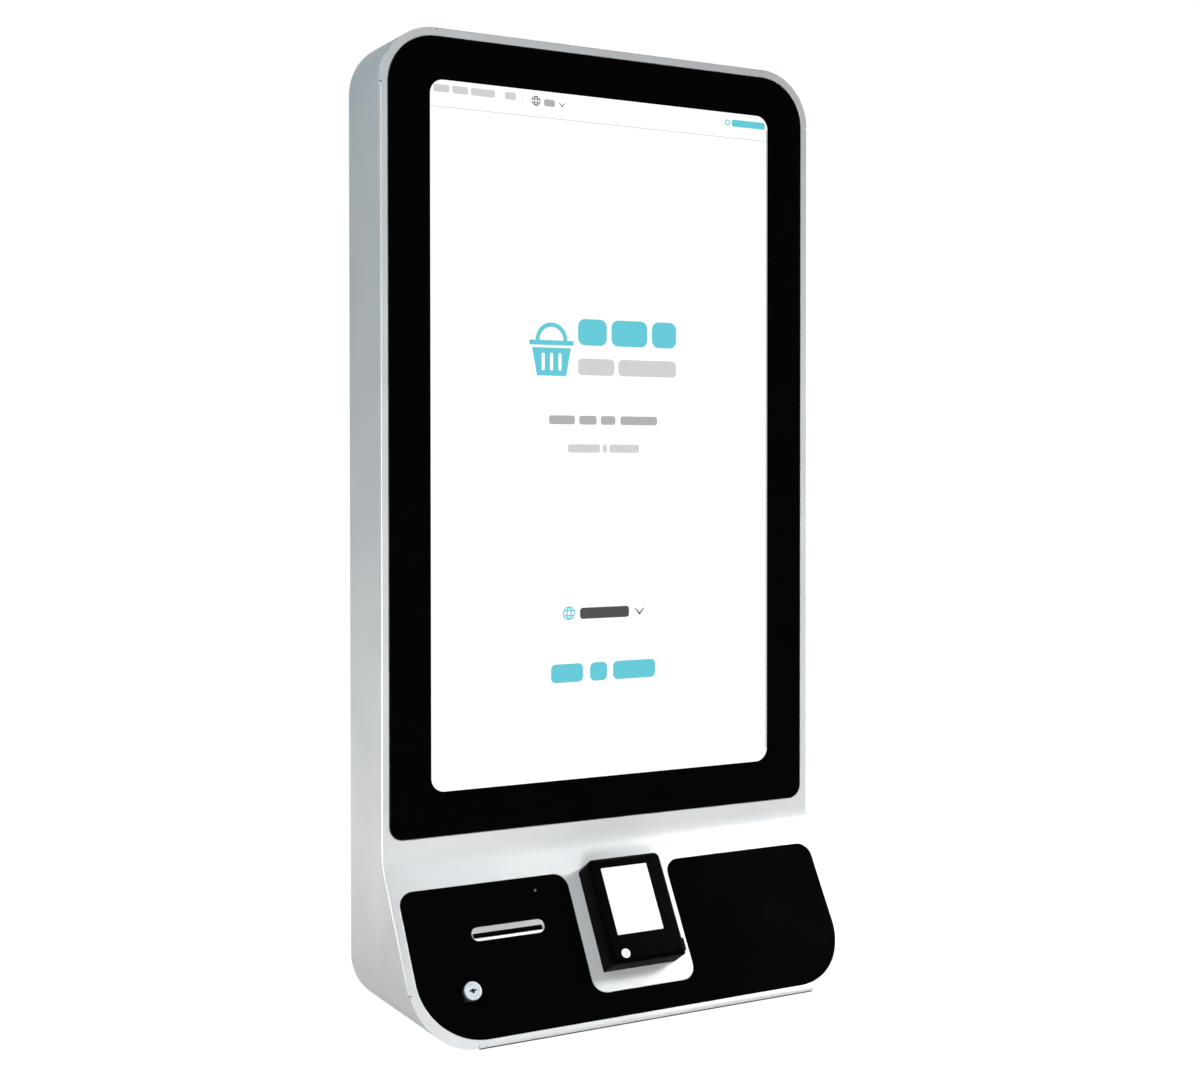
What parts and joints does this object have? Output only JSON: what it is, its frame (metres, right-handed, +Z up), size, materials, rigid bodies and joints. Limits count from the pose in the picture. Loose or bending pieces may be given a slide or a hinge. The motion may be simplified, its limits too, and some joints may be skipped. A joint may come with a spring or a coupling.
{
  "type": "self checkout kiosk",
  "caption": "Wall-hung portrait touch kiosk with a sloping chin for receipts and card payment; the whole front is a locked, hinged door over the electronics.",
  "frame": {"origin": "centre of the wall bolt rectangle, on the wall plane", "axes": "+Z up, +Y into the wall, the display faces -Y, +X to the viewer's right"},
  "size_m": [0.4978, 0.185, 0.978],
  "materials": {
    "silver_paint": "satin fine texture",
    "zinc_steel": "zinc plated",
    "light_core": "metal-coloured skin",
    "black_gloss": "high gloss",
    "terminal_plastic": "semi-matte",
    "cover_glass": "polished",
    "lit_screen": "lit",
    "dark_plastic": "moulded",
    "jack_metal": "bright",
    "red_plastic": "gloss",
    "white_plastic": "moulded",
    "rubber_black": "matte",
    "circuit_board": "solder mask",
    "aluminium": "extruded",
    "blade_steel": "ground",
    "chrome_lock": "polished",
    "brass": "machined",
    "paper": "thermal paper",
    "cardboard": "board tube"
  },
  "bodies": {
    "cabinet": {"wall_plate": "zinc_steel", "back_panel": "silver_paint", "side_panels": "silver_paint", "top_panel": "silver_paint", "bottom_panel": "silver_paint", "front_flange": "silver_paint", "door_gasket": "rubber_black", "cabinet_hinges": "zinc_steel", "hinge_pins": "zinc_steel", "lock_striker": "zinc_steel", "computer_case": "dark_plastic", "computer_heat_sink": "aluminium", "main_board": "circuit_board", "power_supply": "light_core", "power_inlet": "dark_plastic", "power_switch": "dark_plastic", "network_jacks": "jack_metal", "cable_grommet": "rubber_black", "fan_frame": "dark_plastic", "speakers": "dark_plastic", "cabinet_fixings": "zinc_steel"},
    "power_rocker": {"power_rocker": "red_plastic"},
    "fan_rotor": {"fan_rotor": "dark_plastic"},
    "door": {"front_bezel": "silver_paint", "chin_skin": "silver_paint", "door_frame": "zinc_steel", "door_hinges": "zinc_steel", "touch_glass": "cover_glass", "glass_tape": "rubber_black", "lcd_panel": "lit_screen", "lcd_backlight": "light_core", "lcd_brackets": "zinc_steel", "display_board": "circuit_board", "lower_panel": "black_gloss", "chin_backplate": "zinc_steel", "receipt_mouth": "black_gloss", "printer_chassis": "zinc_steel", "printer_motor": "light_core", "head_pivot": "zinc_steel", "roll_spindle": "dark_plastic", "status_led": "dark_plastic", "lock_body": "chrome_lock", "lock_nut": "zinc_steel", "terminal_case": "terminal_plastic", "terminal_face": "terminal_plastic", "terminal_display": "lit_screen", "card_reader": "terminal_plastic", "terminal_bracket": "zinc_steel", "terminal_screws": "zinc_steel"},
    "platen": {"platen_roller": "rubber_black", "platen_gear": "white_plastic"},
    "motor_pinion": {"motor_pinion": "brass"},
    "print_head": {"print_head": "aluminium"},
    "cutter": {"cutter_blade": "blade_steel"},
    "paper_roll": {"paper_roll": "paper", "roll_core": "cardboard"},
    "lock_plug": {"lock_plug": "chrome_lock", "lock_cam": "zinc_steel", "cam_screw": "zinc_steel"},
    "terminal_button": {"terminal_button": "white_plastic"}
  },
  "joints": [
    {"name": "door_swing", "type": "hinge", "parent": "cabinet", "child": "door", "pos_m": [0.2482, -0.0813, 0], "axis": [0, 0, 1], "range_deg": [0, 100]},
    {"name": "lock_turn", "type": "hinge", "parent": "door", "child": "lock_plug", "pos_m": [-0.186, -0.15724, -0.51485], "axis": [0, -0.8518, 0.5238], "range_deg": [0, 90]},
    {"name": "rocker_tilt", "type": "hinge", "parent": "cabinet", "child": "power_rocker", "pos_m": [0.145, -0.03, -0.5575], "axis": [1, 0, 0], "range_deg": [-16, 0]},
    {"name": "fan_spin", "type": "hinge", "parent": "cabinet", "child": "fan_rotor", "pos_m": [0.1, -0.05, -0.55], "axis": [0, 0, 1], "continuous": true},
    {"name": "roll_turn", "type": "hinge", "parent": "door", "child": "paper_roll", "pos_m": [-0.1336, -0.07378, -0.50513], "axis": [1, 0, 0], "continuous": true},
    {"name": "platen_turn", "type": "hinge", "parent": "door", "child": "platen", "pos_m": [-0.1336, -0.11637, -0.47893], "axis": [1, 0, 0], "continuous": true},
    {"name": "pinion_turn", "type": "hinge", "parent": "door", "child": "motor_pinion", "pos_m": [-0.1336, -0.11765, -0.494], "axis": [1, 0, 0], "continuous": true},
    {"name": "head_lift", "type": "hinge", "parent": "door", "child": "print_head", "pos_m": [-0.1336, -0.09475, -0.47814], "axis": [-1, 0, 0], "range_deg": [0, 20]},
    {"name": "cutter_stroke", "type": "slide", "parent": "door", "child": "cutter", "axis": [0, 0.5238, 0.8518], "range_m": [0, 0.008]},
    {"name": "button_press", "type": "slide", "parent": "door", "child": "terminal_button", "axis": [0, 0.8518, -0.5238], "range_m": [0, 0.0012], "stiffness_N_per_m": 600}
  ],
  "couplings": [
    {"joint": "platen_turn", "follows": "roll_turn", "ratio": 4},
    {"joint": "pinion_turn", "follows": "roll_turn", "ratio": -8}
  ]
}
